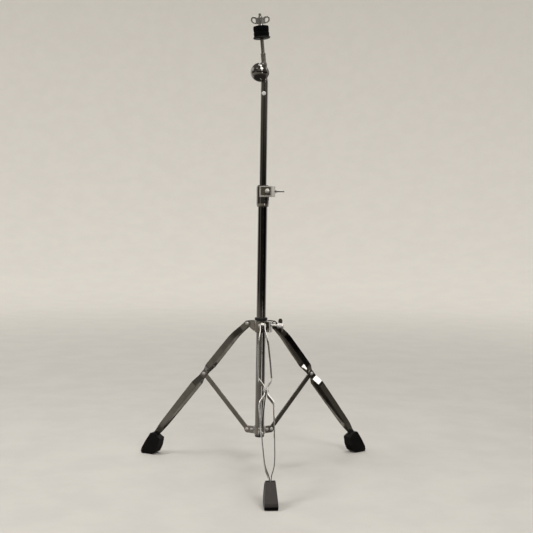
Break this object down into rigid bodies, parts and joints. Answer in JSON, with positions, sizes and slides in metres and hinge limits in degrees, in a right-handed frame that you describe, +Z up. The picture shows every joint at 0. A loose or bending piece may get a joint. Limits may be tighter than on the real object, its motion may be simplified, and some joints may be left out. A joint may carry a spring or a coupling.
{
  "type": "cymbal stand",
  "caption": "Straight cymbal stand: telescoping chromed tube with a ratchet tilter and felts, on a folding tripod of bowed double-strip legs with rubber boots.",
  "frame": {"origin": "bottom centre of the box round the whole stand, on the floor between the feet; the tube axis is 83.9 mm towards +Y", "axes": "+Z up along the tube; -Y along the front leg, the one nearest the camera; +X towards the right in the picture"},
  "size_m": [0.6458, 0.5592, 1.2023],
  "materials": {
    "chrome_tube": "polished chrome plate",
    "chrome_strip": "worn chrome plate on strip steel",
    "chrome_cast": "chrome plate on castings and pressings",
    "rivet": "plated rivet",
    "plated_screw": "bright zinc or nickel plate",
    "nylon": "black nylon",
    "rubber": "matte black rubber",
    "felt": "black wool felt"
  },
  "bodies": {
    "base": {"base_tube": "chrome_tube", "base_tube_plug": "nylon", "strut_collar_plate_a": "chrome_cast", "strut_collar_plate_b": "chrome_cast", "strut_collar_plate_c": "chrome_cast", "strut_collar_rivet_front": "rivet", "strut_collar_rivet_right": "rivet", "strut_collar_rivet_left": "rivet", "strut_pivot_rivet_front": "rivet", "strut_pivot_rivet_right": "rivet", "strut_pivot_rivet_left": "rivet", "height_clamp": "chrome_cast", "height_clamp_bolt": "plated_screw"},
    "bush": {"height_bush": "nylon"},
    "leg_collar": {"leg_collar": "chrome_cast", "leg_collar_bush": "nylon", "leg_hinge_rivet_front": "rivet", "leg_hinge_rivet_right": "rivet", "leg_hinge_rivet_left": "rivet"},
    "collar_wing_bolt": {"collar_wing_bolt": "plated_screw"},
    "leg_front": {"leg_front_strip_a": "chrome_strip", "leg_front_strip_b": "chrome_strip", "leg_front_rivet_a": "rivet", "leg_front_rivet_b": "rivet", "leg_front_foot": "rubber"},
    "leg_right": {"leg_right_strip_a": "chrome_strip", "leg_right_strip_b": "chrome_strip", "leg_right_rivet_a": "rivet", "leg_right_rivet_b": "rivet", "leg_right_foot": "rubber"},
    "leg_left": {"leg_left_strip_a": "chrome_strip", "leg_left_strip_b": "chrome_strip", "leg_left_rivet_a": "rivet", "leg_left_rivet_b": "rivet", "leg_left_foot": "rubber"},
    "strut_front": {"strut_front": "chrome_strip"},
    "strut_right": {"strut_right": "chrome_strip"},
    "strut_left": {"strut_left": "chrome_strip"},
    "upper_tube": {"upper_tube": "chrome_tube", "tilter_base": "chrome_cast", "tilter_pin": "rivet", "tilter_pivot_bolt": "plated_screw"},
    "tilter_head": {"tilter_head": "chrome_cast", "cymbal_rod": "chrome_tube", "rod_sleeve": "nylon", "cup_washer": "chrome_tube"},
    "tilter_knob": {"tilter_knob": "chrome_cast"},
    "felt_lower": {"felt_lower": "felt"},
    "felt_upper": {"felt_upper": "felt"},
    "felt_wing_nut": {"felt_wing_nut": "plated_screw"},
    "height_wing_nut": {"height_wing_nut": "plated_screw"}
  },
  "joints": [
    {"name": "leg_collar_slide", "type": "slide", "parent": "base", "child": "leg_collar", "axis": [0, 0, 1], "range_m": [0, 0.1016]},
    {"name": "leg_front_hinge", "type": "hinge", "parent": "leg_collar", "child": "leg_front", "pos_m": [0, 0.0459, 0.3875], "axis": [1, 0, 0], "range_deg": [0, 36.1]},
    {"name": "leg_right_hinge", "type": "hinge", "parent": "leg_collar", "child": "leg_right", "pos_m": [0.03291, 0.1029, 0.3875], "axis": [-0.5, 0.866, 0], "range_deg": [0, 36.1]},
    {"name": "leg_left_hinge", "type": "hinge", "parent": "leg_collar", "child": "leg_left", "pos_m": [-0.03291, 0.1029, 0.3875], "axis": [-0.5, -0.866, 0], "range_deg": [0, 36.1]},
    {"name": "strut_front_pivot", "type": "hinge", "parent": "base", "child": "strut_front", "pos_m": [0, 0.0479, 0.102], "axis": [-1, 0, 0], "range_deg": [0, 37.2]},
    {"name": "strut_right_pivot", "type": "hinge", "parent": "base", "child": "strut_right", "pos_m": [0.03118, 0.1019, 0.102], "axis": [0.5, -0.866, 0], "range_deg": [0, 37.2]},
    {"name": "strut_left_pivot", "type": "hinge", "parent": "base", "child": "strut_left", "pos_m": [-0.03118, 0.1019, 0.102], "axis": [0.5, 0.866, 0], "range_deg": [0, 37.2]},
    {"name": "collar_wing_bolt_turn", "type": "hinge", "parent": "leg_collar", "child": "collar_wing_bolt", "pos_m": [0.03464, 0.0639, 0.3868], "axis": [0.866, -0.5, 0], "range_deg": [0, 540]},
    {"name": "height_wing_nut_turn", "type": "hinge", "parent": "base", "child": "height_wing_nut", "pos_m": [0.02988, 0.08753, 0.74], "axis": [0.5693, 0.8221, 0], "range_deg": [0, 540]},
    {"name": "upper_tube_swivel", "type": "hinge", "parent": "base", "child": "bush", "pos_m": [0, 0.0839, 0.74], "axis": [0, 0, 1], "continuous": true},
    {"name": "height_slide", "type": "slide", "parent": "bush", "child": "upper_tube", "axis": [0, 0, 1], "range_m": [-0.225, 0.13]},
    {"name": "rod_tilt", "type": "hinge", "parent": "upper_tube", "child": "tilter_head", "pos_m": [0, 0.0839, 1.049], "axis": [-0.7627, -0.6468, 0], "range_deg": [-92.4, 87.6]},
    {"name": "tilter_knob_turn", "type": "hinge", "parent": "upper_tube", "child": "tilter_knob", "pos_m": [-0.01525, 0.07096, 1.049], "axis": [-0.7627, -0.6468, 0], "range_deg": [0, 540]},
    {"name": "felt_lower_turn", "type": "hinge", "parent": "tilter_head", "child": "felt_lower", "pos_m": [-0.00995, 0.0809, 1.14786], "axis": [-0.1001, -0.0302, 0.9945], "continuous": true},
    {"name": "felt_upper_turn", "type": "hinge", "parent": "tilter_head", "child": "felt_upper", "pos_m": [-0.01138, 0.08047, 1.16208], "axis": [-0.1001, -0.0302, 0.9945], "continuous": true},
    {"name": "felt_wing_nut_turn", "type": "hinge", "parent": "tilter_head", "child": "felt_wing_nut", "pos_m": [-0.01301, 0.07997, 1.17829], "axis": [-0.1001, -0.0302, 0.9945], "range_deg": [0, 540]}
  ],
  "couplings": [
    {"joint": "leg_front_hinge", "follows": "leg_collar_slide", "rad_per_m": 6.179},
    {"joint": "leg_right_hinge", "follows": "leg_collar_slide", "rad_per_m": 6.179},
    {"joint": "leg_left_hinge", "follows": "leg_collar_slide", "rad_per_m": 6.179},
    {"joint": "strut_front_pivot", "follows": "leg_collar_slide", "rad_per_m": 6.361},
    {"joint": "strut_right_pivot", "follows": "leg_collar_slide", "rad_per_m": 6.361},
    {"joint": "strut_left_pivot", "follows": "leg_collar_slide", "rad_per_m": 6.361}
  ]
}
